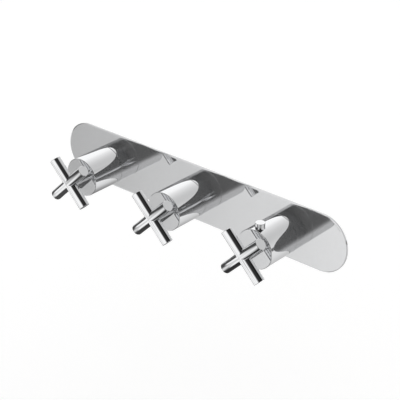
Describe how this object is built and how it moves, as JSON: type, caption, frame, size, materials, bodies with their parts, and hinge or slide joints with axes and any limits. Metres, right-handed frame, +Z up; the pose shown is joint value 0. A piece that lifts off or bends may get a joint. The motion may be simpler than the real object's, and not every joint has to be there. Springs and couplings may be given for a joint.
{
  "type": "thermostatic shower valve",
  "caption": "Concealed thermostatic shower valve: a long round-ended wall plate with a row of cross-handle controls, and the valve body with its pipe ports behind it.",
  "frame": {"origin": "centre of the wall plate's back face, on the plane of the finished wall and on the middle control's axis", "axes": "+Z up, +X to the right seen from the front, +Y into the wall; the handles point along -Y"},
  "size_m": [0.45, 0.1295, 0.078],
  "materials": {
    "chrome": "polished chrome plate",
    "brass": "bare cast and turned brass",
    "acetal": "moulded acetal",
    "ceramic": "lapped ceramic",
    "seal_rubber": "moulded rubber",
    "spring_steel": "drawn stainless wire",
    "screw_steel": "stainless steel"
  },
  "bodies": {
    "valve": {"wall_plate": "chrome", "plate_seal": "seal_rubber", "collars": "chrome", "collar_seals": "seal_rubber", "valve_body": "brass", "flow_body_left": "brass", "flow_body_middle": "brass", "gallery_tubes": "brass", "fixing_brackets": "screw_steel", "gallery_plug": "brass", "cartridge_nuts": "brass", "flow_housings": "brass", "ceramic_seats": "ceramic", "disc_lip_seals": "seal_rubber", "thermo_housing": "acetal", "thermo_cage": "acetal", "chamber_seals": "seal_rubber", "return_spring": "spring_steel", "stop_ring": "acetal", "check_body_hot": "acetal", "check_body_cold": "acetal", "check_spring_hot": "spring_steel", "check_spring_cold": "spring_steel", "inlet_strainers": "screw_steel"},
    "left_control": {"handle_body_left": "chrome", "cross_handle_left": "chrome", "spline_insert_left": "acetal", "grub_screw_left": "screw_steel", "spindle_clip_left": "spring_steel", "flow_spindle_left": "brass", "ceramic_rotor_left": "ceramic"},
    "middle_control": {"handle_body_middle": "chrome", "cross_handle_middle": "chrome", "spline_insert_middle": "acetal", "grub_screw_middle": "screw_steel", "spindle_clip_middle": "spring_steel", "flow_spindle_middle": "brass", "ceramic_rotor_middle": "ceramic"},
    "temp_control": {"handle_body_right": "chrome", "cross_handle_right": "chrome", "spline_insert_right": "acetal", "grub_screw_right": "screw_steel", "spindle_clip_right": "spring_steel", "temp_spindle": "brass", "button_spring": "spring_steel"},
    "regulator": {"spindle_nut": "brass", "overload_spring": "spring_steel", "overload_plunger": "acetal", "wax_element": "brass", "thermo_spool": "acetal"},
    "button": {"override_button": "chrome"},
    "poppet_hot": {"check_poppet_hot": "acetal"},
    "poppet_cold": {"check_poppet_cold": "acetal"}
  },
  "joints": [
    {"name": "left_turn", "type": "hinge", "parent": "valve", "child": "left_control", "pos_m": [-0.14, 0, 0], "axis": [0, -1, 0], "range_deg": [0, 90]},
    {"name": "middle_turn", "type": "hinge", "parent": "valve", "child": "middle_control", "pos_m": [0, 0, 0], "axis": [0, -1, 0], "range_deg": [0, 90]},
    {"name": "temp_turn", "type": "hinge", "parent": "valve", "child": "temp_control", "pos_m": [0.14, 0, 0], "axis": [0, -1, 0], "range_deg": [-180, 0]},
    {"name": "regulator_slide", "type": "slide", "parent": "valve", "child": "regulator", "axis": [0, -1, 0], "range_m": [0, 0.0026], "deforming": ["return_spring"]},
    {"name": "button_push", "type": "slide", "parent": "temp_control", "child": "button", "axis": [0, 0, -1], "range_m": [0, 0.0022], "stiffness_N_per_m": 500, "springref_m": -0.002, "deforming": ["button_spring"]},
    {"name": "check_hot_lift", "type": "slide", "parent": "valve", "child": "poppet_hot", "axis": [0, 0, 1], "range_m": [0, 0.0025], "stiffness_N_per_m": 100, "springref_m": -0.003, "deforming": ["check_spring_hot"]},
    {"name": "check_cold_lift", "type": "slide", "parent": "valve", "child": "poppet_cold", "axis": [0, 0, 1], "range_m": [0, 0.0025], "stiffness_N_per_m": 100, "springref_m": -0.003, "deforming": ["check_spring_cold"]}
  ],
  "couplings": [
    {"joint": "regulator_slide", "follows": "temp_turn", "m_per_rad": -0.00079577}
  ]
}
